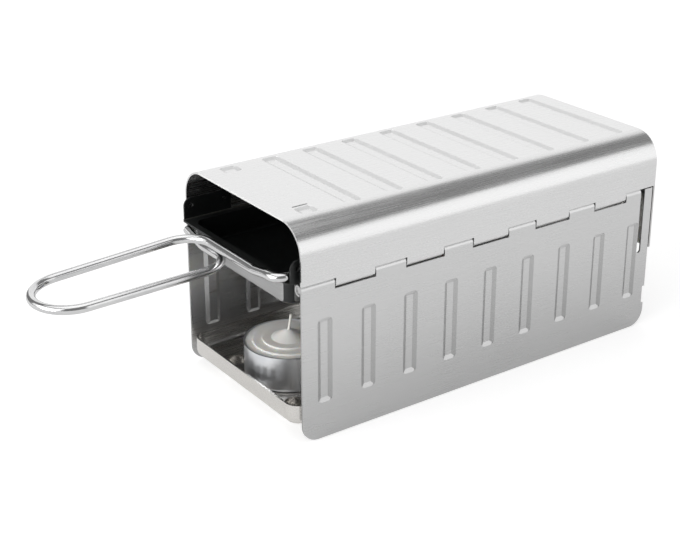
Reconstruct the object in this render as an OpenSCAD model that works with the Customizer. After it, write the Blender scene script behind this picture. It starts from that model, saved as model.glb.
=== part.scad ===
// Folding tealight raclette oven: an arched sheet cover on two side panels, each hung
// from a piano hinge, over a tray of tealights, with a pan that slides in above them.
// Millimetres. X runs across the oven, the open front faces -Y, and Z = 0 is the table.
// The origin lies under the middle of the oven with its handle.

/* [Housing] */
// width over the two side faces
housing_w = 88; // [84:1:92]
// length of the cover from the open front to the back
housing_l = 192; // [188:1:196]
// height of the top face
housing_h = 92; // [90:1:96]
// sheet thickness of the cover and the side panels
sheet = 0.8; // [0.6:0.1:0.9]
// outer radius of the cover's long top edges
edge_r = 13; // [11:1:15]

/* [Hinges] */
// how far the hinge pins lie below the top face
pin_drop = 26; // [25:0.1:27]
// radius of the hinge pins
pin_r = 1.45; // [1.2:0.05:1.5]
// running clearance between a pin and its knuckles
pin_fit = 0.05; // [0.02:0.01:0.09]
// number of knuckles rolled from the cover on each side
cover_tabs = 5; // [3:1:5]
// share of the hinge between two cover knuckles that a knuckle takes
tab_share = 0.542; // [0.48:0.002:0.56]
// from the front edge to the first cover knuckle
first_tab = 16.1; // [15:0.1:17]
// from the last cover knuckle to the back edge
last_tab = 18.3; // [17:0.1:19.5]
// free play between neighbouring knuckles
tab_gap = 0.5; // [0.3:0.1:0.8]
// play between a knuckle and the edge cut round it
curl_gap = 0.35; // [0.3:0.05:0.5]
// slit left between the end of a knuckle's curl and its sheet
curl_slit = 0.5; // [0.3:0.1:0.6]

/* [Pressed ribs] */
// number of ribs on each face
ribs = 9; // [5:1:9]
// depth of a pressed rib
rib_d = 0.8; // [0.5:0.1:0.9]
// width of the slope down to a rib's floor
rib_slope = 1.8; // [1.2:0.1:2.2]
// radius of a rib's corners
rib_corner = 2; // [1:0.1:2.4]
// from the front and back edges to the middle of the outermost ribs of the top
top_rib_end = 13.2; // [12:0.1:16]
// width of a top rib
top_rib_w = 8; // [6:0.5:9]
// how far a top rib stops short of the side faces
top_rib_in = 12.5; // [12.5:0.5:16]
// length of the two stubs that stand for the frontmost rib
stub_l = 7; // [5:0.5:8]
// from the ends of a side panel to the middle of its outermost ribs
side_rib_end = 10.85; // [10:0.05:12.5]
// width of a side rib
side_rib_w = 7; // [6:0.5:8]
// height of the lower end of a side rib
side_rib_low = 15.8; // [14:0.2:20]
// how far the upper end of a side rib lies below the hinge pins
side_rib_drop = 13.4; // [12.8:0.2:18]

/* [Side panels] */
// radius of a panel's two foot corners
foot_corner = 7.5; // [5:0.5:9]
// how far a panel stops short of the back
panel_short = 1.5; // [1.4:0.1:2.5]
// width of the slot near the back of a panel
slot_w = 2.4; // [2:0.1:3]
// width of the tongue behind that slot
tongue_w = 4.7; // [4:0.1:6]
// length of that slot below the hinge line
slot_l = 30; // [20:1:32]
// height of the lower end of the notch in the back edge
notch_low = 10.5; // [9:0.5:12]
// length of the notch
notch_l = 8.5; // [6:0.5:10]
// depth of the notch
notch_d = 1.3; // [1:0.1:2]

/* [Back plate and top slot] */
// thickness of the back plate
plate_t = 0.9; // [0.7:0.1:0.9]
// how far the back plate hangs below the cover
plate_drop = 30; // [20:1:34]
// distance of the top slot's centre from the right side
top_slot_in = 21; // [20:0.5:24]
// distance of the top slot's centre from the front
top_slot_y = 13.7; // [12:0.1:16]
// length of the top slot
top_slot_l = 7.5; // [5:0.5:9]
// width of the top slot
top_slot_w = 1; // [0.8:0.1:1.5]

/* [Tray] */
// gap between the tray and each side panel
tray_side = 2.8; // [2.6:0.1:4]
// how far the tray stands out at the front
tray_out = 1.8; // [1:0.1:2.5]
// height of the tray's rim above the table
tray_rim = 14.8; // [13:0.1:15.4]
// height of the underside of the tray's floor
tray_floor = 5.5; // [4.5:0.1:6]
// radius of the tray's upright corners
tray_corner = 6; // [5.5:0.5:8]
// radius of the bend from the tray's floor to its walls
tray_bend = 3.6; // [2.5:0.1:4]
// radius of a pressed foot
foot_r = 5.2; // [4:0.1:5.6]
// radius of the bend round a foot's sole
foot_bend = 2; // [1.2:0.1:2.4]
// distance of the feet from the tray's side walls
foot_side = 17.5; // [15:0.5:19]
// distance of the feet from the tray's front and back walls
foot_in = 12.2; // [11:0.1:13]

/* [Tealights] */
// from the ends of the cover to the middle of the outermost tealights
tealight_end = 22.5; // [21:0.5:26]
// radius of a tealight's cup
cup_r = 19; // [18:0.1:19.5]
// height of a tealight's cup
cup_h = 16; // [14:0.5:17]
// wall of a tealight's cup
cup_t = 0.4; // [0.3:0.1:0.5]
// radius of the bend round the cup's base
cup_bend = 1.6; // [1:0.1:2]
// height of one step of the wax
wax_step = 0.7; // [0.4:0.1:1]
// height of the cone in the middle of the wax
wax_cone = 3.4; // [2:0.1:4]
// radius of the wick
wick_r = 0.65; // [0.5:0.05:0.8]
// length of the bare wick above the wax
wick_up = 8.6; // [4:0.1:10]
// lean of the bare wick
wick_lean = 14; // [0:1:20]
// radius of the wick's foot plate
sustainer_r = 6; // [5:0.1:8]

/* [Pan] */
// gap between the pan's flange and each side of the cover
pan_side = 2.2; // [2:0.1:2.5]
// how far the pan stands out at the front
pan_out = 3.9; // [3.5:0.1:5]
// distance from the back of the pan to the back of the cover
pan_back = 6; // [4:0.5:12]
// depth of the pan below its flange
pan_d = 10.9; // [10:0.1:12]
// width of the flange at the front and the back
flange_w = 2.1; // [2:0.1:2.6]
// width of the flange at the sides, where it rests on the knuckles
side_flange_w = 4.4; // [4:0.1:4.6]
// thickness of the pan's sheet
pan_t = 0.8; // [0.6:0.1:1]
// radius of the pan's upright corners
pan_corner = 5.5; // [4:0.5:7]
// radius of the bend round the pan's floor
pan_bend = 2; // [1.5:0.1:2.6]
// length of an upturned ear
ear_l = 22.8; // [20:0.1:24]
// height of an upturned ear
ear_h = 9; // [7:0.1:9.5]
// radius of an ear's upper corners
ear_corner = 3.6; // [2:0.1:4]
// radius of the two holes in an ear
ear_hole_r = 1; // [0.7:0.1:1.2]
// distance of these holes from the ends and the top of an ear
ear_hole_in = 3.4; // [2.5:0.1:4]

/* [Handle] */
// radius of the handle's wire
wire_r = 1.6; // [1.4:0.1:1.8]
// reach of the handle from the cover's front
handle_reach = 86; // [78:1:95]
// radius of the handle's round end
tip_r = 11.6; // [10:0.1:13]
// side of the round end from the middle
tip_x = -10.8; // [-12:0.1:-9]
// how far the round end lies below the pan's flange
tip_drop = 3.6; // [2.6:0.1:5.6]
// angle at which each leg spreads towards the pan
leg_spread = 5; // [3:0.5:7]
// radius of the bends at the roots of the legs
root_bend = 7; // [5:0.5:8]
// how far the lower run lies below the flange; the upper run is level with it
lower_drop = 5.2; // [5:0.1:6.6]
// distance from the pan's right side to where the upper run's end starts to lift
hook_in = 16.2; // [15:0.1:19]
// lean of that lift
hook_lean = 25; // [20:1:35]
// distance from the pan's left side to where the lower run's end starts to lift
lift_in = 18; // [17:0.5:21]
// lean of that lift
lift_lean = 13; // [11:0.5:16]
// radius of the small bends
small_bend = 4.5; // [3:0.5:5]

/* [Fits] */
// gap between a piece and the seat that it rests on
seat_gap = 0.3; // [0.1:0.05:0.3]
// gap between pieces that are fixed in one another
snug = 0.05; // [0.02:0.01:0.1]

/* [Hidden] */
$fn = 40;

// number of tealights in the tray
tealights = 3;
// how far a cut runs past what it cuts
over = 1;
half_w = housing_w / 2;
pin_z = housing_h - pin_drop;
// the middle of the cover, behind the origin by half of what the handle reaches out
mid_y = (handle_reach + wire_r) / 2;
front_y = mid_y - housing_l / 2;
back_y = mid_y + housing_l / 2;
knuckle_r = pin_r + pin_fit + sheet;
bore_r = pin_r + pin_fit;
pin_x = half_w - knuckle_r;
// the lower edge of the cover, above the panels' knuckles
edge_rise = sqrt(pow(knuckle_r + curl_gap, 2) - pow(bore_r, 2));
seam_z = pin_z + edge_rise;
// the edge of a panel, below the cover's knuckles
cut_z = pin_z - edge_rise;
panel_back = back_y - panel_short;
panel_mid = (front_y + panel_back) / 2;
tab_pitch = (housing_l - first_tab - last_tab) / (cover_tabs - 1 + tab_share);
cover_tab_l = tab_share * tab_pitch;
top_rib_pitch = (housing_l - 2 * top_rib_end) / (ribs - 1);
top_rib_l = housing_w - 2 * top_rib_in;
side_rib_pitch = (panel_back - front_y - 2 * side_rib_end) / (ribs - 1);
side_rib_high = pin_z - side_rib_drop;
// how much further out the slope at a rib's back lies, for a wall of the sheet's thickness
rib_wall = sheet * tan(atan2(rib_d, rib_slope) / 2);

tray_w = housing_w - 2 * (sheet + tray_side);
tray_front = front_y - tray_out;
tray_back = panel_back;
tray_half_l = (tray_back - tray_front) / 2;
tray_y = (tray_back + tray_front) / 2;
foot_x = tray_w / 2 - foot_side;
cup_z = tray_floor + sheet + snug;
tealight_pitch = (housing_l - 2 * tealight_end) / (tealights - 1);
first_cup_y = front_y + tealight_end;

flange_z = pin_z + knuckle_r + seat_gap;
pan_w = housing_w - 2 * (sheet + pan_side);
pan_front = front_y - pan_out;
pan_rear = back_y - pan_back;
pan_half_l = (pan_rear - pan_front) / 2;
pan_y = (pan_rear + pan_front) / 2;
wall_half_w = pan_w / 2 - side_flange_w;
wall_half_l = pan_half_l - flange_w;

upper_z = flange_z;
lower_z = flange_z - lower_drop;
tip_z = flange_z - tip_drop;
hook_x = pan_w / 2 - hook_in;
lift_x = lift_in - pan_w / 2;
upper_y = pan_front - seat_gap - wire_r;
lower_y = pan_front + flange_w - seat_gap - wire_r;
tip_front = front_y - handle_reach;
hook_rise = flange_z + pan_t + snug + wire_r - upper_z;
lift_rise = flange_z - seat_gap - wire_r / cos(lift_lean) - lower_z;
// directions in which the wire leans, seen along it from its loop
lean_back = 90;
lean_up = 180;
// the lift of the upper run's end also comes forward a little
lean_hook = 207;
// radius of the ball that rounds a joint or an end of the wire
ball_r = wire_r + snug / 2;

// the cover's cross-section, filled, from a low edge up to the top
module arch(half, top, radius, low) {
    intersection() {
        translate([0, top - half]) round_rect(half, half, radius);
        translate([-half, low]) square([2 * half, top - low]);
    }
}

// a rectangle with round corners about the origin
module round_rect(half_x, half_y, radius) {
    square([2 * half_x, 2 * (half_y - radius)], center = true);
    square([2 * (half_x - radius), 2 * half_y], center = true);
    for (sx = [-1, 1], sy = [-1, 1])
        translate([sx * (half_x - radius), sy * (half_y - radius)]) circle(r = radius);
}

// the section of a trough: its sides slope in below Z = 0 and are upright above it
module trough_section(wide, up) {
    half = wide / 2;
    polygon([[-half, up], [half, up], [half, 0], [half - rib_slope, -rib_d], [rib_slope - half, -rib_d], [-half, 0]]);
}

// a pressed trough that slopes in on all four sides and runs up past Z = 0
module trough(long, wide, up) {
    intersection() {
        rotate([90, 0, 90]) linear_extrude(long, center = true) trough_section(wide, up);
        rotate([90, 0, 0]) linear_extrude(wide, center = true) trough_section(long, up);
        translate([0, 0, -rib_d]) linear_extrude(rib_d + up) round_rect(long / 2, wide / 2, rib_corner);
    }
}

// takes a row of ribs out of a sheet whose outer face lies at Z = 0
module rib_fronts(count, pitch, long, wide) {
    for (i = [0 : count - 1]) translate([0, (i - (count - 1) / 2) * pitch, 0]) trough(long, wide, over);
}

// the same ribs where they stand out behind the sheet
module rib_backs(count, pitch, long, wide) {
    for (i = [0 : count - 1]) translate([0, (i - (count - 1) / 2) * pitch, -sheet])
        trough(long + 2 * rib_wall, wide + 2 * rib_wall, sheet / 2);
}

// one knuckle rolled inwards round the right pin, seen along the hinge
module curl(up) {
    mirror([0, up ? 1 : 0]) {
        difference() {
            circle(r = knuckle_r);
            circle(r = bore_r);
            translate([bore_r - curl_slit, -knuckle_r - over]) square([curl_slit, knuckle_r + over]);
        }
    }
}

// a strip of the hinge between two places along it
module along_hinge(from, to) {
    translate([pin_x, to, pin_z]) rotate([90, 0, 0]) linear_extrude(to - from) children();
}

// the cover's knuckles on the right side
module cover_knuckles() {
    for (i = [0 : cover_tabs - 1]) {
        from = front_y + first_tab + i * tab_pitch;
        along_hinge(from, from + cover_tab_l) {
            curl(true);
            translate([bore_r, 0]) square([sheet, seam_z - pin_z + sheet]);
        }
    }
}

// a side panel's knuckles on the right side, in the gaps between the cover's
module panel_knuckles() {
    for (i = [0 : cover_tabs]) {
        from = i == 0 ? front_y : front_y + first_tab + cover_tab_l + (i - 1) * tab_pitch + tab_gap;
        to = i == cover_tabs ? panel_back - slot_w - tongue_w : front_y + first_tab + i * tab_pitch - tab_gap;
        along_hinge(from, to) {
            curl(false);
            translate([bore_r, cut_z - pin_z - sheet]) square([sheet, pin_z - cut_z + sheet]);
        }
    }
}

// the outline of a side panel, across from the front and up from the table
module panel_outline() {
    difference() {
        union() {
            translate([front_y, foot_corner]) square([panel_back - front_y, cut_z - foot_corner]);
            translate([front_y + foot_corner, 0]) square([panel_back - front_y - 2 * foot_corner, cut_z]);
            for (y = [front_y + foot_corner, panel_back - foot_corner])
                translate([y, foot_corner]) circle(r = foot_corner);
            translate([panel_back - tongue_w, foot_corner]) square([tongue_w, seam_z - tab_gap - foot_corner]);
        }
        translate([panel_back - tongue_w - slot_w, seam_z - slot_l]) square([slot_w, slot_l]);
        translate([panel_back - tongue_w - slot_w / 2, seam_z - slot_l]) circle(r = slot_w / 2);
        translate([panel_back - notch_d, notch_low]) square([notch_d + over, notch_l]);
    }
}

// the middle of the top's full ribs
module at_top_ribs() translate([0, mid_y + top_rib_pitch / 2, housing_h]) children();

// where the frontmost rib's two stubs lie
module at_stubs() {
    for (s = [-1, 1]) translate([s * (top_rib_l - stub_l) / 2, front_y + top_rib_end, housing_h]) children();
}

module cover_shell() {
    color([0.80, 0.80, 0.79]) {
        difference() {
            union() {
                translate([0, back_y, 0]) rotate([90, 0, 0]) linear_extrude(housing_l) difference() {
                    arch(half_w, housing_h, edge_r, seam_z);
                    arch(half_w - sheet, housing_h - sheet, edge_r - sheet, seam_z - over);
                }
                at_top_ribs() rib_backs(ribs - 1, top_rib_pitch, top_rib_l, top_rib_w);
                at_stubs() rib_backs(1, 0, stub_l, top_rib_w);
            }
            at_top_ribs() rib_fronts(ribs - 1, top_rib_pitch, top_rib_l, top_rib_w);
            at_stubs() rib_fronts(1, 0, stub_l, top_rib_w);
            translate([half_w - top_slot_in, front_y + top_slot_y, housing_h - sheet - over])
                linear_extrude(sheet + 2 * over) round_rect(top_slot_w / 2, top_slot_l / 2, top_slot_w / 2 - snug);
        }
        cover_knuckles();
        mirror([1, 0, 0]) cover_knuckles();
    }
}

module back_plate() {
    low = seam_z - plate_drop;
    color([0.74, 0.74, 0.73]) translate([0, back_y, 0]) rotate([90, 0, 0]) linear_extrude(plate_t) {
        arch(half_w - sheet - snug, housing_h - sheet - snug, edge_r - sheet - snug, seam_z - over);
        translate([-half_w, low]) square([2 * half_w, seam_z - snug - low]);
    }
}

// the right side panel; the left one is its mirror image
module side_panel() {
    rib_l = side_rib_high - side_rib_low;
    difference() {
        union() {
            translate([half_w - sheet, 0, 0]) rotate([90, 0, 90]) linear_extrude(sheet) panel_outline();
            translate([half_w, panel_mid, (side_rib_high + side_rib_low) / 2]) rotate([0, 90, 0])
                rib_backs(ribs, side_rib_pitch, rib_l, side_rib_w);
        }
        translate([half_w, panel_mid, (side_rib_high + side_rib_low) / 2]) rotate([0, 90, 0])
            rib_fronts(ribs, side_rib_pitch, rib_l, side_rib_w);
    }
    panel_knuckles();
}

module side_panel_right() color([0.72, 0.72, 0.71]) side_panel();

module side_panel_left() color([0.72, 0.72, 0.71]) mirror([1, 0, 0]) side_panel();

// a hinge pin, a little shorter than its row of knuckles at both ends
module hinge_pin() {
    from = front_y + pin_fit + curl_gap;
    to = panel_back - slot_w - tongue_w - curl_gap;
    translate([pin_x, to, pin_z]) rotate([90, 0, 0]) cylinder(r = pin_r, h = to - from);
}

module hinge_pin_right() color([0.62, 0.62, 0.61]) hinge_pin();

module hinge_pin_left() color([0.62, 0.62, 0.61]) mirror([1, 0, 0]) hinge_pin();

// the section of an upright wall with a bend at its foot and a strip of the floor, at a
// given corner radius
module wall_section(corner, bend, t, low, high) {
    translate([corner - bend, low + bend]) intersection() {
        difference() {
            circle(r = bend);
            circle(r = bend - t);
        }
        translate([0, -bend]) square([bend, bend]);
    }
    translate([corner - t, low + bend]) square([t, high - low - bend]);
    translate([corner - bend - t, low]) square([t, t]);
}

// carries a section round a rectangle with round corners
module round_walk(half_x, half_y, corner) {
    for (i = [0 : 3]) {
        long = i % 2 == 0 ? half_y : half_x;
        wide = i % 2 == 0 ? half_x : half_y;
        rotate([0, 0, i * 90]) {
            translate([wide - corner, long - corner, 0]) rotate_extrude(angle = 90) children();
            translate([wide - corner, long - corner, 0]) rotate([90, 0, 0])
                linear_extrude(2 * (long - corner)) children();
        }
    }
}

// a pressed dish: floor, bend and walls
module dish(half_x, half_y, corner, bend, t, low, high) {
    round_walk(half_x, half_y, corner) wall_section(corner, bend, t, low, high);
    translate([0, 0, low]) linear_extrude(t) round_rect(half_x - bend, half_y - bend, corner - bend);
}

// a round plug whose lower edge has a bend
module plug(radius, bend, low, high) {
    rotate_extrude() {
        intersection() {
            translate([radius - bend, low + bend]) circle(r = bend);
            translate([0, low - over]) square([radius + over, 2 * (bend + over)]);
        }
        translate([0, low]) square([radius - bend, high - low]);
        translate([0, low + bend]) square([radius, high - low - bend]);
    }
}

// where the tray's feet stand
module at_feet() {
    for (sx = [-1, 1], sy = [-1, 1]) translate([sx * foot_x, sy * (tray_half_l - foot_in), 0]) children();
}

module base_tray() {
    color([0.70, 0.70, 0.69]) translate([0, tray_y, 0]) difference() {
        union() {
            dish(tray_w / 2, tray_half_l, tray_corner, tray_bend, sheet, tray_floor, tray_rim);
            at_feet() plug(foot_r, foot_bend, 0, tray_floor + sheet / 2);
        }
        at_feet() plug(foot_r - sheet, foot_bend - sheet, sheet, tray_floor + sheet + over);
    }
}

// where the nth tealight stands
module at_tealight(n) translate([0, first_cup_y + (n - 1) * tealight_pitch, cup_z]) children();

module tealight_cup(n) {
    color([0.78, 0.79, 0.81]) at_tealight(n) {
        rotate_extrude() wall_section(cup_r, cup_bend, cup_t, 0, cup_h);
        cylinder(r = cup_r - cup_bend, h = cup_t);
        translate([0, 0, cup_h - cup_t]) difference() {
            cylinder(r = cup_r + cup_t / 2, h = cup_t);
            translate([0, 0, -over]) cylinder(r = cup_r - cup_t, h = cup_t + 2 * over);
        }
    }
}

wax_r = cup_r - cup_t - snug;
wax_top = cup_h - cup_t;
neck_r = wick_r + snug + cup_t;
neck_h = cup_h / 4;
// shares of the wax radius at which its steps and its cone begin
step_shares = [0.82, 0.6, 0.4];
// share of the wick's radius that its bare end keeps
burnt_share = 0.85;

module tealight_wax(n) {
    foot = cup_t + snug;
    peak = wax_top + 2 * wax_step + wax_cone;
    color([0.95, 0.94, 0.90]) at_tealight(n) difference() {
        union() {
            translate([0, 0, foot]) rotate_extrude() polygon([[0, 0], [wax_r - cup_bend, 0],
                [wax_r, cup_bend], [wax_r, wax_top - foot], [0, wax_top - foot]]);
            for (i = [0, 1]) translate([0, 0, foot])
                cylinder(r = wax_r * step_shares[i], h = wax_top + (i + 1) * wax_step - foot);
            translate([0, 0, wax_top + wax_step]) rotate_extrude() polygon([[0, 0],
                [wax_r * step_shares[2], 0], [wax_r * step_shares[2], wax_step], [2 * wick_r, wax_step + wax_cone],
                [0, wax_step + wax_cone]]);
        }
        cylinder(r = wick_r + snug, h = peak + over);
        cylinder(r = sustainer_r + snug, h = foot + cup_t + snug);
        cylinder(r = neck_r + snug, h = foot + neck_h + snug);
    }
}

module tealight_wick(n) {
    foot = cup_t + snug;
    bare = wax_top + 2 * wax_step + wax_cone + snug;
    color([0.93, 0.92, 0.88]) at_tealight(n) {
        translate([0, 0, foot]) cylinder(r = wick_r, h = bare - foot);
        translate([0, 0, bare - wick_r]) rotate([0, wick_lean, 0]) cylinder(r = wick_r * burnt_share, h = wick_up);
    }
}

module wick_sustainer(n) {
    foot = cup_t + snug;
    color([0.66, 0.66, 0.66]) at_tealight(n) translate([0, 0, foot]) difference() {
        union() {
            cylinder(r = sustainer_r, h = cup_t);
            cylinder(r = neck_r, h = neck_h);
        }
        translate([0, 0, -over]) cylinder(r = wick_r + snug, h = neck_h + 2 * over);
    }
}

module tealight_cup_1() tealight_cup(1);
module tealight_cup_2() tealight_cup(2);
module tealight_cup_3() tealight_cup(3);
module tealight_wax_1() tealight_wax(1);
module tealight_wax_2() tealight_wax(2);
module tealight_wax_3() tealight_wax(3);
module tealight_wick_1() tealight_wick(1);
module tealight_wick_2() tealight_wick(2);
module tealight_wick_3() tealight_wick(3);
module wick_sustainer_1() wick_sustainer(1);
module wick_sustainer_2() wick_sustainer(2);
module wick_sustainer_3() wick_sustainer(3);

// an ear's outline, back from its front end and up from the flange
module ear_outline() {
    difference() {
        union() {
            translate([0, -pan_t / 2]) square([ear_l, ear_h - ear_corner + pan_t / 2]);
            translate([ear_corner, 0]) square([ear_l - 2 * ear_corner, ear_h]);
            for (y = [ear_corner, ear_l - ear_corner]) translate([y, ear_h - ear_corner]) circle(r = ear_corner);
        }
        for (y = [ear_hole_in, ear_l - ear_hole_in]) translate([y, ear_h - ear_hole_in]) circle(r = ear_hole_r);
    }
}

module pan_body() {
    edge = pan_corner - flange_w;
    color([0.16, 0.16, 0.17]) {
        translate([0, pan_y, 0]) {
            dish(wall_half_w, wall_half_l, pan_corner, pan_bend, pan_t, flange_z - pan_d, flange_z + pan_t);
            translate([0, 0, flange_z]) linear_extrude(pan_t) difference() {
                round_rect(pan_w / 2, pan_half_l, flange_w);
                round_rect(wall_half_w - pan_t, wall_half_l - pan_t, pan_corner - pan_t);
            }
        }
        for (s = [-1, 1]) translate([s > 0 ? pan_w / 2 - pan_t : -pan_w / 2, pan_front + flange_w / 2, flange_z])
            rotate([90, 0, 90]) linear_extrude(pan_t) translate([0, pan_t]) ear_outline();
    }
}

// a straight length of wire, with what follows it carried on its end
module straight(l) {
    cylinder(r = wire_r, h = l);
    translate([0, 0, l]) {
        sphere(r = ball_r);
        children();
    }
}

// a bend of the wire towards one side, with what follows it carried on its end
module bend(side, radius, angle) {
    rotate([0, 0, side]) {
        translate([radius, 0, 0]) rotate([90, 0, 180])
            rotate_extrude(angle = angle) translate([radius, 0]) circle(r = wire_r);
        translate([radius, 0, 0]) rotate([0, angle, 0]) translate([-radius, 0, 0]) rotate([0, 0, -side]) {
            sphere(r = ball_r);
            children();
        }
    }
}

// half the loop: a run along X from the place where its end lifts, a leg and half the
// round end, all in one sloping plane; s tells to which side of its leg the run goes
module half_loop(s, run_end, y, z) {
    reach = norm([y - tip_front, z - tip_z]);
    turn = 90 - leg_spread;
    leg = (reach - tip_r - root_bend + (tip_r - root_bend) * sin(leg_spread)) / cos(leg_spread);
    across = root_bend + (tip_r - root_bend) * cos(leg_spread) + leg * sin(leg_spread);
    run = s * (run_end - tip_x) + across - root_bend;
    translate([run_end, y, z]) rotate([atan2(z - tip_z, y - tip_front), 0, 0]) rotate([0, -s * 90, 0])
        mirror([s > 0 ? 0 : 1, 0, 0]) straight(run)
            bend(-lean_back, root_bend, turn + 2 * leg_spread) straight(leg) bend(-lean_back, tip_r, turn);
}

module pan_handle() {
    hook_l = (hook_rise / cos(lean_hook - lean_up) - 2 * small_bend * (1 - cos(hook_lean))) / sin(hook_lean);
    lift_l = (lift_rise - small_bend * (1 - cos(lift_lean))) / sin(lift_lean);
    color([0.86, 0.86, 0.86]) {
        half_loop(1, hook_x, upper_y, upper_z);
        half_loop(-1, lift_x, lower_y, lower_z);
        for (start = [[hook_x, upper_y, upper_z], [lift_x, lower_y, lower_z]]) translate(start)
            rotate([0, 90, 0]) sphere(r = ball_r);
        translate([hook_x, upper_y, upper_z]) rotate([0, 90, 0])
            bend(lean_hook, small_bend, hook_lean) straight(hook_l) bend(lean_hook - lean_up, small_bend, hook_lean)
                bend(lean_back, small_bend, lean_back) straight(flange_w / 2);
        translate([lift_x, lower_y, lower_z]) rotate([0, -90, 0])
            bend(0, small_bend, lift_lean) straight(lift_l);
    }
}

cover_shell();
back_plate();
side_panel_left();
side_panel_right();
hinge_pin_left();
hinge_pin_right();
base_tray();
pan_body();
pan_handle();
tealight_cup_1();
tealight_cup_2();
tealight_cup_3();
tealight_wax_1();
tealight_wax_2();
tealight_wax_3();
tealight_wick_1();
tealight_wick_2();
tealight_wick_3();
wick_sustainer_1();
wick_sustainer_2();
wick_sustainer_3();
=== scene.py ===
import math

import bpy
from mathutils import Matrix, Vector


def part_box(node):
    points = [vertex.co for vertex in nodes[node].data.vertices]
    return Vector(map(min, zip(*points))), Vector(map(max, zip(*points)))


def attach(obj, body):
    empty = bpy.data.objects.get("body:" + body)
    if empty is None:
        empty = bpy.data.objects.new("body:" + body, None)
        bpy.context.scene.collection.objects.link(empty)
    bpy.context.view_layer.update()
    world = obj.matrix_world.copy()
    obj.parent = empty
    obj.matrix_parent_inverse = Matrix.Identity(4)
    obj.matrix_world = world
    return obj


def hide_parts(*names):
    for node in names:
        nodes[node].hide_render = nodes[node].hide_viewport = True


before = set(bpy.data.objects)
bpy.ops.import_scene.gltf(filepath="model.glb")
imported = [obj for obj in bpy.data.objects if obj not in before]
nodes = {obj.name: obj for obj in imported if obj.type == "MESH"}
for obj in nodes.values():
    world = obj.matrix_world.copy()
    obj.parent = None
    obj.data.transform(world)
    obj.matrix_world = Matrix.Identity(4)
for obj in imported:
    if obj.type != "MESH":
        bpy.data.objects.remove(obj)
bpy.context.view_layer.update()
scene = bpy.context.scene
MM = 0.001
cover_low, cover_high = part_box("cover_shell")
pan_low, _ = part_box("pan_body")
mid_y = (cover_low[1] + cover_high[1]) / 2

# Sizes of the solids that the looks and the wire handle depend on, in millimetres
HOUSING_HALF_L = 96.0
TOP_FLAT_X = 32.2       # the top's flat part, with its ribs, lies within this of the middle
PANEL_TOP_Z = 62.0      # the panels are painted lightest from here up, with painted shade darker towards the table
PAN_HALF_W = 41.0       # to the flange's edge
PAN_WALL_X = 36.3       # the outer faces of the pan's side walls lie outside this
FLANGE_Z = 68.6         # underside of the pan's flange
FLANGE_T = 0.8
FLANGE_W = 2.1          # the front flange, and what the photo shows of the side ones

NOISE_RANGE = (0.3, 0.7)    # nearly all of a noise lies in it
BRUSH_DEPTH = 0.02 * MM     # how deep the finest lines are


def numbered(name):
    """The three pieces of one kind, one to a tealight."""
    return [f"{name}_{n}" for n in (1, 2, 3)]


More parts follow.
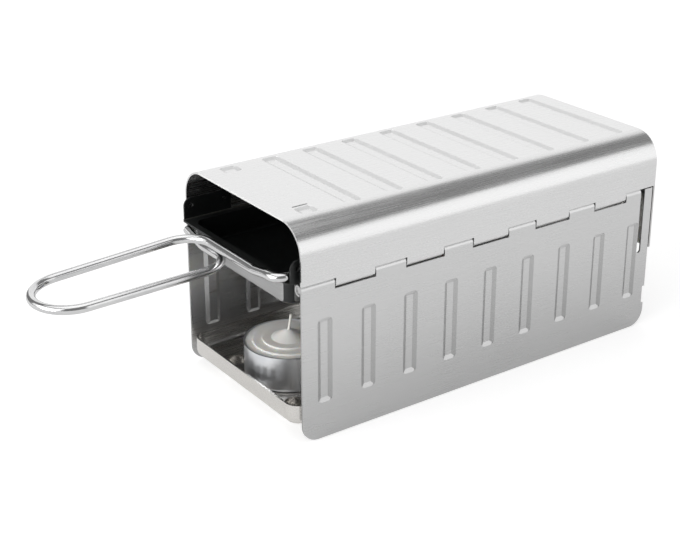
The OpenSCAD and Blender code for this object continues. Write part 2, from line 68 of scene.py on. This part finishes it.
class Tree:
    """Short words for building a material out of nodes."""

    def __init__(self, name):
        self.mat = bpy.data.materials.new(name)
        self.mat.use_nodes = True
        self.nt = self.mat.node_tree
        self.bsdf = self.nt.nodes["Principled BSDF"]
        self.coord = self.new("ShaderNodeTexCoord").outputs["Object"]
        self.normal = self.new("ShaderNodeNewGeometry").outputs["Normal"]

    def new(self, kind, **props):
        node = self.nt.nodes.new(kind)
        for key, value in props.items():
            setattr(node, key, value)
        return node

    def put(self, socket, value):
        if isinstance(value, bpy.types.NodeSocket):
            self.nt.links.new(value, socket)
        elif isinstance(value, (tuple, list)) and len(value) == 3 and socket.type == "RGBA":
            socket.default_value = (*value, 1)
        else:
            socket.default_value = value

    def set(self, name, value):
        self.put(self.bsdf.inputs[name], value)

    def noise(self, scale, detail, rough, stretch=(1, 1, 1)):
        mapping = self.new("ShaderNodeMapping")
        self.put(mapping.inputs["Vector"], self.coord)
        mapping.inputs["Scale"].default_value = stretch
        n = self.new("ShaderNodeTexNoise")
        self.put(n.inputs["Vector"], mapping.outputs["Vector"])
        n.inputs["Scale"].default_value = scale
        n.inputs["Detail"].default_value = detail
        n.inputs["Roughness"].default_value = rough
        return n.outputs["Fac"]

    def span(self, value, lo, hi, out_lo, out_hi, soft=False):
        kind = "SMOOTHSTEP" if soft else "LINEAR"
        r = self.new("ShaderNodeMapRange", interpolation_type=kind)
        for key, v in (("Value", value), ("From Min", lo), ("From Max", hi),
                       ("To Min", out_lo), ("To Max", out_hi)):
            self.put(r.inputs[key], v)
        return r.outputs["Result"]

    def vary(self, noise, lo=0.0, hi=1.0):
        """A noise's usual range stretched over lo to hi."""
        return self.span(noise, *NOISE_RANGE, lo, hi)

    def math(self, op, a, b=0.0):
        m = self.new("ShaderNodeMath", operation=op)
        self.put(m.inputs[0], a)
        self.put(m.inputs[1], b)
        return m.outputs[0]

    def above(self, value, limit):
        return self.math("GREATER_THAN", value, limit)

    def below(self, value, limit):
        return self.math("LESS_THAN", value, limit)

    def size(self, value):
        return self.math("ABSOLUTE", value)

    def total(self, first, *rest):
        for value in rest:
            first = self.math("ADD", first, value)
        return first

    def where_all(self, first, *rest):
        """1 where every mask is 1."""
        for value in rest:
            first = self.math("MULTIPLY", first, value)
        return first

    def where_any(self, first, *rest):
        """1 where one or more of the masks are 1."""
        for value in rest:
            first = self.math("MAXIMUM", first, value)
        return first

    def mix(self, fac, a, b, blend="MIX"):
        m = self.new("ShaderNodeMix", data_type="RGBA", blend_type=blend)
        self.put(m.inputs[0], fac)
        self.put(m.inputs[6], a)
        self.put(m.inputs[7], b)
        return m.outputs[2]

    def shaded(self, colour, value):
        """A colour times one value."""
        grey = self.new("ShaderNodeCombineColor")
        for key in ("Red", "Green", "Blue"):
            self.put(grey.inputs[key], value)
        return self.mix(1.0, colour, grey.outputs[0], "MULTIPLY")

    def split(self, vector):
        s = self.new("ShaderNodeSeparateXYZ")
        self.put(s.inputs[0], vector)
        return s.outputs

    def bump(self, height, strength, distance):
        b = self.new("ShaderNodeBump")
        b.inputs["Strength"].default_value = strength
        b.inputs["Distance"].default_value = distance
        self.put(b.inputs["Height"], height)
        self.set("Normal", b.outputs["Normal"])


def dress(names, tree):
    for name in names:
        obj = nodes[name]
        obj.data.materials.clear()
        obj.data.materials.append(tree.mat)


# Brushed steel
CORNER_REACH = 2.5 * MM         # painted shade: how near a pressed corner the sheet is painted darker
CORNER_RANGE = (0.35, 0.95)     # from deep in a corner to open sheet
EDGE_RANGE = (0.12, 0.38)       # from flat to a rib's wall, as its normal's Y
LEAN_RANGE = (0.90, 0.985)      # from a top rib's wall to flat, as its normal's Z


def steel(name, base, rough, grain, deep=0.10, mottle=0.01, lines=0.035, low=1.0, high=1.0,
          dull=0.0, edge=0.0):
    """Brushed stainless sheet: fine lines along `grain`, a slow mottle, and painted shade
    that makes pressed corners darker by `deep`. Its tone runs from `low` at the table to
    `high` at the hinges, a painted shade that darkens it towards the bottom. The walls of the
    cover's top ribs are rougher by `dull`, and painted shade makes what faces to the front or
    the back darker by `edge`."""
    t = Tree(name)
    x, _, z = t.split(t.coord)
    fine = t.noise(scale=1.0, detail=2.0, rough=0.6, stretch=grain)
    slow = t.noise(scale=38.0, detail=3.0, rough=0.5)
    tone = t.total(t.vary(fine, -lines, lines), t.vary(slow, -mottle, mottle))
    # Painted shade: the tone is painted darker towards the table, from `low` up to `high`, on
    # top of the random brushing and mottle
    shade = t.total(t.span(z, 0.0, PANEL_TOP_Z * MM, low, high, soft=True), tone)
    # Painted shade: rib walls and slots that face to the front or the back are painted darker
    # by `edge`
    if edge:
        facing = t.size(t.split(t.normal)[1])
        shade = t.math("SUBTRACT", shade, t.span(facing, *EDGE_RANGE, 0.0, edge))
    # Painted shade: the sheet is painted darker by `deep` in pressed corners, where occlusion
    # finds nearby surfaces
    near = t.new("ShaderNodeAmbientOcclusion", samples=6, only_local=True)
    near.inputs["Distance"].default_value = CORNER_REACH
    painted_corner_shade = t.span(near.outputs["AO"], *CORNER_RANGE, 1.0 - deep, 1.0)
    t.set("Base Color", t.shaded(t.shaded(base, shade), painted_corner_shade))
    t.set("Metallic", 1.0)
    if dull:
        leaning = t.span(t.split(t.normal)[2], *LEAN_RANGE, dull, 0.0)
        flat_part = t.below(t.size(x), TOP_FLAT_X * MM)
        rough = t.total(rough, t.math("MULTIPLY", leaning, flat_part))
    uneven = t.total(t.vary(fine, -0.05, 0.05), t.vary(slow, -0.02, 0.02))
    t.set("Roughness", t.total(rough, uneven))
    t.bump(fine, strength=3.0 * lines, distance=BRUSH_DEPTH)
    return t


dress(["cover_shell"],
      steel("cover_steel", (0.86, 0.86, 0.86), 0.27, grain=(4000, 30, 4000),
            deep=0.05, lines=0.022, dull=0.45))
dress(["back_plate"],
      steel("plate_steel", (0.70, 0.70, 0.69), 0.30, grain=(30, 4000, 4000)))
dress(["side_panel_left", "side_panel_right"],
      steel("panel_steel", (0.72, 0.72, 0.72), 0.30, grain=(4000, 30, 4000),
            deep=0.30, lines=0.018, low=0.84, high=1.05, edge=0.24))
dress(["base_tray"],
      steel("tray_steel", (0.82, 0.80, 0.77), 0.26, grain=(3000, 40, 3000)))
dress(["hinge_pin_left", "hinge_pin_right"],
      steel("pin_steel", (0.62, 0.62, 0.62), 0.35, grain=(3000, 60, 3000)))

# The pan: how far a zone reaches past its face in millimetres, and the normals that count
RIM_BAND, WALL_BAND = 0.4, 0.5
FRONT_GAP, SIDE_GAP = 0.1, 0.2      # from the flange's underside down to the bare walls
FACES_UP, FACES_FRONT, FACES_DOWN = 0.7, -0.25, -0.3


def pan():
    """Black coating with grey specks inside, on the flange and on the ears, olive grey along
    the side flanges' edges, and bare grey metal on the outside walls and underneath."""
    t = Tree("pan_coating")
    x, y, z = t.split(t.coord)
    _, ny, nz = t.split(t.normal)
    across = t.size(x)
    flange = FLANGE_Z * MM
    speck = t.noise(scale=1400.0, detail=2.0, rough=0.7)
    cloud = t.noise(scale=60.0, detail=3.0, rough=0.5)
    brushed = t.noise(scale=1.0, detail=2.0, rough=0.6, stretch=(40, 3000, 3000))

    rim = t.where_all(t.above(nz, FACES_UP),
                      t.above(z, flange + (FLANGE_T - RIM_BAND) * MM),
                      t.below(z, flange + (FLANGE_T + RIM_BAND) * MM),
                      t.above(across, (PAN_HALF_W - FLANGE_W) * MM))
    coat = t.mix(rim, (0.005, 0.006, 0.006), (0.050, 0.050, 0.044))
    coat = t.mix(t.span(speck, 0.62, 0.74, 0.0, 1.0), coat, (0.030, 0.032, 0.032))
    grey = t.mix(t.vary(brushed), (0.37, 0.37, 0.37), (0.46, 0.46, 0.46))

    front = t.where_all(t.below(ny, FACES_FRONT),
                        t.below(y, pan_low[1] + (FLANGE_W + WALL_BAND) * MM),
                        t.below(z, flange - FRONT_GAP * MM))
    under = t.where_all(t.below(nz, FACES_DOWN), t.below(z, pan_low[2] + WALL_BAND * MM))
    side = t.where_all(t.above(across, PAN_WALL_X * MM), t.below(z, flange - SIDE_GAP * MM))
    bare = t.where_any(front, under, side)
    t.set("Base Color", t.mix(bare, coat, grey))
    t.set("Metallic", t.math("MULTIPLY", bare, 0.9))
    t.set("Roughness", t.total(t.vary(cloud, 0.40, 0.48), t.math("MULTIPLY", bare, -0.08)))
    t.bump(speck, strength=0.15, distance=BRUSH_DEPTH)
    return t


dress(["pan_body"], pan())


def wire():
    """Polished wire with faint drawing lines and a few dull patches."""
    t = Tree("handle_wire")
    fine = t.noise(scale=900.0, detail=2.0, rough=0.6, stretch=(1, 0.08, 1))
    patch = t.noise(scale=55.0, detail=3.0, rough=0.6)
    t.set("Base Color", t.mix(t.span(patch, 0.35, 0.7, 0.0, 1.0),
                              (0.80, 0.80, 0.80), (0.70, 0.70, 0.71)))
    t.set("Metallic", 1.0)
    t.set("Roughness", t.total(t.vary(patch, 0.14, 0.20), t.vary(fine, -0.02, 0.02)))
    t.bump(fine, strength=0.06, distance=BRUSH_DEPTH)
    return t


# The wire handle, in millimetres and degrees
WIRE_R = 1.9
TIP_R, ROOT_R = 14.9, 12.9      # the loop's round tip, and the bends that its legs start with
SMALL_R, WIDE_R = 4.5, 12.0     # the bends at the wire's ends, and those of the hook's rise
TIP_X, TIP_Z = -12.7, 62.9      # the tip's middle
TIP_REACH = 83.9                # how far the tip stands in front of the housing
SPREAD = -1.9                   # how far each leg opens towards the pan; below zero it closes
SEAT = 0.3                      # gap between the runs and the pan
HOOK_IN = 22.9                  # where the upper run ends, from the pan's right edge
HOOK_LEAN, HOOK_SIDE = 14, 27   # how steeply the hook rises, and its slant to the side
HOOK_LIFT, HOOK_TAIL = 0.05, 1.05   # its gap over the flange, and its straight end
LIFT_IN = 18                    # where the lower run ends, from the pan's left edge
LIFT_DROP, LIFT_LEAN = 5.2, 13  # its drop below the flange, and how steeply its end rises
BEND_STEP, BEND_LEAST = 4, 6    # degrees to a point on a bend, and the fewest points on one


def turned(axis, degrees):
    return Matrix.Rotation(math.radians(degrees), 4, axis)


def along(at, moves):
    """Points on a wire's centre line. It starts at the matrix `at` along that one's Z, and
    its moves are ("go", length) or ("turn", side, radius, angle)."""
    points = [at.translation.copy()]
    for kind, *values in moves:
        if kind == "go":
            at = at @ Matrix.Translation((0, 0, values[0]))
            points.append(at.translation.copy())
            continue
        side, radius, angle = values
        swing = turned("Z", side)
        steps = max(BEND_LEAST, int(abs(angle) / BEND_STEP))
        for k in range(1, steps + 1):
            bend = (Matrix.Translation((radius, 0, 0)) @ turned("Y", angle * k / steps)
                    @ Matrix.Translation((-radius, 0, 0)))
            reached = at @ swing @ bend @ swing.inverted()
            points.append(reached.translation.copy())
        at = reached
    return points


def half_loop(s, end, tip_y):
    """From the end of a run (s is 1 for the upper one, -1 for the lower) round its root and
    along its leg to the middle of the round tip."""
    slope = math.atan2(end[2] - TIP_Z, end[1] - tip_y)
    reach = math.hypot(end[1] - tip_y, end[2] - TIP_Z)
    sine, cosine = math.sin(math.radians(SPREAD)), math.cos(math.radians(SPREAD))
    leg = (reach - TIP_R - ROOT_R + (TIP_R - ROOT_R) * sine) / cosine
    across = ROOT_R + (TIP_R - ROOT_R) * cosine + leg * sine
    start = Matrix.Translation(end) @ Matrix.Rotation(slope, 4, "X") @ turned("Y", -90 * s)
    if s < 0:
        start = start @ Matrix.Diagonal((-1, 1, 1, 1))
    return along(start, [
        ("go", s * (end[0] - TIP_X) + across - ROOT_R),
        ("turn", -90, ROOT_R, 90 + SPREAD),
        ("go", leg),
        ("turn", -90, TIP_R, 90 - SPREAD)])


def handle():
    """The pan's wire handle: one length, whose runs cross in front of the pan. One end lies
    on the flange, and the other lifts against it from below."""
    front = pan_low[1] / MM
    tip_y = mid_y / MM - HOUSING_HALF_L - TIP_REACH
    upper = Vector((PAN_HALF_W - HOOK_IN, front - SEAT - WIRE_R, FLANGE_Z))
    lower = Vector((LIFT_IN - PAN_HALF_W, front + FLANGE_W - SEAT - WIRE_R,
                    FLANGE_Z - LIFT_DROP))

    lean = math.radians(HOOK_LEAN)
    rise = (FLANGE_T + HOOK_LIFT + WIRE_R) / math.cos(math.radians(HOOK_SIDE))
    hook_l = (rise - 2 * WIDE_R * (1 - math.cos(lean))) / math.sin(lean)
    hook = along(Matrix.Translation(upper) @ turned("Y", 90), [
        ("turn", 180 + HOOK_SIDE, WIDE_R, HOOK_LEAN),
        ("go", hook_l),
        ("turn", HOOK_SIDE, WIDE_R, HOOK_LEAN),
        ("turn", 90, SMALL_R, 90),
        ("go", HOOK_TAIL)])

    lean = math.radians(LIFT_LEAN)
    rise = LIFT_DROP - SEAT - WIRE_R / math.cos(lean)
    lift_l = (rise - SMALL_R * (1 - math.cos(lean))) / math.sin(lean)
    lift = along(Matrix.Translation(lower) @ turned("Y", -90), [
        ("turn", 0, SMALL_R, LIFT_LEAN),
        ("go", lift_l)])

    points = (hook[::-1] + half_loop(1, upper, tip_y)[1:]
              + half_loop(-1, lower, tip_y)[::-1][1:] + lift[1:])
    data = bpy.data.curves.new("wire_handle", "CURVE")
    data.dimensions = "3D"
    data.bevel_depth, data.bevel_resolution, data.use_fill_caps = WIRE_R * MM, 10, True
    line = data.splines.new("POLY")
    line.points.add(len(points) - 1)
    for point, at in zip(line.points, points):
        point.co = (*(at * MM), 1)
    line.use_smooth = True
    obj = bpy.data.objects.new("wire_handle", data)
    scene.collection.objects.link(obj)
    data.materials.append(wire().mat)
    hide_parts("pan_handle")
    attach(obj, "handle")


handle()


def cup():
    """Drawn foil cup: fine upright flutes and a satin sheen."""
    t = Tree("cup_aluminium")
    fine = t.noise(scale=700.0, detail=3.0, rough=0.6, stretch=(1, 1, 0.1))
    slow = t.noise(scale=90.0, detail=2.0, rough=0.5)
    t.set("Base Color", t.mix(t.vary(slow), (0.80, 0.82, 0.85), (0.92, 0.93, 0.95)))
    t.set("Metallic", 1.0)
    t.set("Roughness", t.vary(fine, 0.30, 0.44))
    t.bump(fine, strength=0.5, distance=0.08 * MM)
    return t


def wax():
    """Soft white wax: light passes a little way in, and the surface is gently uneven."""
    t = Tree("wax")
    slow = t.noise(scale=120.0, detail=3.0, rough=0.5)
    fine = t.noise(scale=900.0, detail=2.0, rough=0.5)
    t.set("Base Color", t.mix(t.span(slow, 0.35, 0.65, 0.0, 1.0),
                              (0.88, 0.86, 0.82), (0.95, 0.935, 0.90)))
    t.set("Subsurface Weight", 0.35)
    t.set("Subsurface Radius", (3.0 * MM, 2.2 * MM, 1.5 * MM))
    t.set("Subsurface Scale", 1.0)
    t.set("Roughness", t.vary(fine, 0.38, 0.5))
    t.bump(slow, strength=0.25, distance=0.15 * MM)
    return t


def wick():
    """Waxed cotton braid."""
    t = Tree("wick")
    braid = t.new("ShaderNodeTexWave", wave_type="BANDS", bands_direction="DIAGONAL")
    t.put(braid.inputs["Vector"], t.coord)
    braid.inputs["Scale"].default_value = 500.0
    braid.inputs["Distortion"].default_value = 2.0
    strand = braid.outputs["Fac"]
    t.set("Base Color", t.mix(strand, (0.80, 0.78, 0.72), (0.90, 0.89, 0.85)))
    t.set("Roughness", 0.75)
    t.bump(strand, strength=0.5, distance=0.1 * MM)
    return t


dress(numbered("tealight_cup"), cup())
dress(numbered("tealight_wax"), wax())
dress(numbered("tealight_wick"), wick())
dress(numbered("wick_sustainer"),
      steel("sustainer_tin", (0.60, 0.60, 0.60), 0.35, grain=(900, 900, 900)))

# The floor and the room, in metres
FLOOR_SIZE, FLOOR_DROP = 8.0, 0.3 * MM
FLOOR_SHINE = 0.255                     # how bright the metal sees it
LIFT_NEAR, LIFT_FAR = 0.60, 1.0         # how far the camera sees it lifted
NEAR, FAR = 0.5, 1.3                    # between these distances from the object
ROOM_TONE = 0.20                        # of the world, but for the camera


def floor():
    """A plain white table. The camera and the metal see it lifted to paper white, with the
    object's shadow on it."""
    bpy.ops.mesh.primitive_plane_add(size=FLOOR_SIZE, location=(0, 0, -FLOOR_DROP))
    obj = bpy.context.object
    obj.name = "floor"
    t = Tree("floor_white")
    t.nt.nodes.remove(t.bsdf)
    white = t.new("ShaderNodeBsdfDiffuse")
    grain = t.noise(scale=12.0, detail=2.0, rough=0.5)
    t.put(white.inputs["Color"], t.mix(t.vary(grain), (0.60, 0.60, 0.60), (0.62, 0.62, 0.62)))
    ray = t.new("ShaderNodeLightPath").outputs
    metal = t.where_any(ray["Is Glossy Ray"], ray["Is Transmission Ray"])
    away = t.new("ShaderNodeVectorMath", operation="LENGTH")
    t.put(away.inputs[0], t.coord)
    lifted = t.span(away.outputs["Value"], NEAR, FAR, LIFT_NEAR, LIFT_FAR, soft=True)
    lift = t.new("ShaderNodeEmission")
    t.put(lift.inputs["Color"], (1.0, 1.0, 1.0))
    shine = t.math("MULTIPLY", metal, FLOOR_SHINE)
    seen = t.math("MULTIPLY", ray["Is Camera Ray"], lifted)
    t.put(lift.inputs["Strength"], t.math("MAXIMUM", shine, seen))
    both = t.new("ShaderNodeAddShader")
    t.put(both.inputs[0], white.outputs[0])
    t.put(both.inputs[1], lift.outputs[0])
    t.put(t.nt.nodes["Material Output"].inputs["Surface"], both.outputs[0])
    obj.data.materials.append(t.mat)
    return obj


def softbox(name, at, toward, wide, high, power):
    data = bpy.data.lights.new(name, "AREA")
    data.shape = "RECTANGLE"
    data.size, data.size_y, data.energy = wide, high, power
    obj = bpy.data.objects.new(name, data)
    scene.collection.objects.link(obj)
    obj.location = at
    obj.rotation_mode = "QUATERNION"
    obj.rotation_quaternion = (Vector(toward) - Vector(at)).to_track_quat("-Z", "Y")
    obj.visible_camera = False
    return obj


# Each with its place, what it is aimed at, its width and height in metres, and its watts
lights = [
    softbox("left_back_wall", (-1.5, 1.05, 0.75), (0, 0, 0.1), 2.6, 1.9, 11.8),
    softbox("right_back_wall", (1.3, 1.0, 0.55), (0, 0, 0.07), 1.5, 1.2, 5.0),
    softbox("overhead", (0.0, -0.1, 1.7), (0, 0, 0), 1.9, 1.7, 10.5),
    softbox("front_left", (-0.9, -1.6, 0.7), (0, 0, 0.06), 1.2, 1.0, 3.0),
    softbox("front_low", (0.15, -1.4, 0.28), (0, 0, 0.04), 0.9, 0.5, 9.5),
    softbox("front_high", (0.1, -1.7, 0.95), (0, 0, 0.03), 2.4, 1.3, 14.0),
    softbox("back_wall", (0.05, 1.9, 0.55), (0, 0, 0.08), 1.5, 1.1, 3.4),
]
floor()


def room():
    """A dim grey room that the camera sees as white."""
    world = bpy.data.worlds.new("studio")
    world.use_nodes = True
    tree = world.node_tree
    tone = tree.nodes.new("ShaderNodeMix")
    tone.data_type = "RGBA"
    tone.inputs[6].default_value = (ROOM_TONE, ROOM_TONE, ROOM_TONE, 1)
    tone.inputs[7].default_value = (1.0, 1.0, 1.0, 1)
    ray = tree.nodes.new("ShaderNodeLightPath")
    tree.links.new(ray.outputs["Is Camera Ray"], tone.inputs[0])
    back = tree.nodes["Background"]
    tree.links.new(tone.outputs[2], back.inputs["Color"])
    back.inputs["Strength"].default_value = 1.0
    return world


scene.world = room()

# The camera, fitted to the housing's edges in the photo
YAW, PITCH = math.radians(54.727), math.radians(21.621)
CAMERA_AT = (454.13, -368.16, 293.93)   # in millimetres from the middle of the cover's foot
FOCAL_PX, PHOTO_PX = 1426.45, 680.0     # focal length and photo's width, in pixels
SENSOR = 36.0
SHIFT = -0.08
cam = bpy.data.objects.new("camera", bpy.data.cameras.new("camera"))
scene.collection.objects.link(cam)
behind = Vector((math.sin(YAW) * math.cos(PITCH), -math.cos(YAW) * math.cos(PITCH),
                 math.sin(PITCH)))
right = Vector((math.cos(YAW), math.sin(YAW), 0))
up = behind.cross(right)
aim = Matrix((right, up, behind)).transposed().to_4x4()
cam.matrix_world = Matrix.Translation(Vector(CAMERA_AT) * MM + Vector((0, mid_y, 0))) @ aim
cam.data.sensor_width = SENSOR
cam.data.lens = FOCAL_PX * SENSOR / PHOTO_PX
cam.data.shift_y = SHIFT
cam.data.clip_start, cam.data.clip_end = 0.01, 50.0
scene.camera = cam

scene.view_settings.view_transform = "Standard"
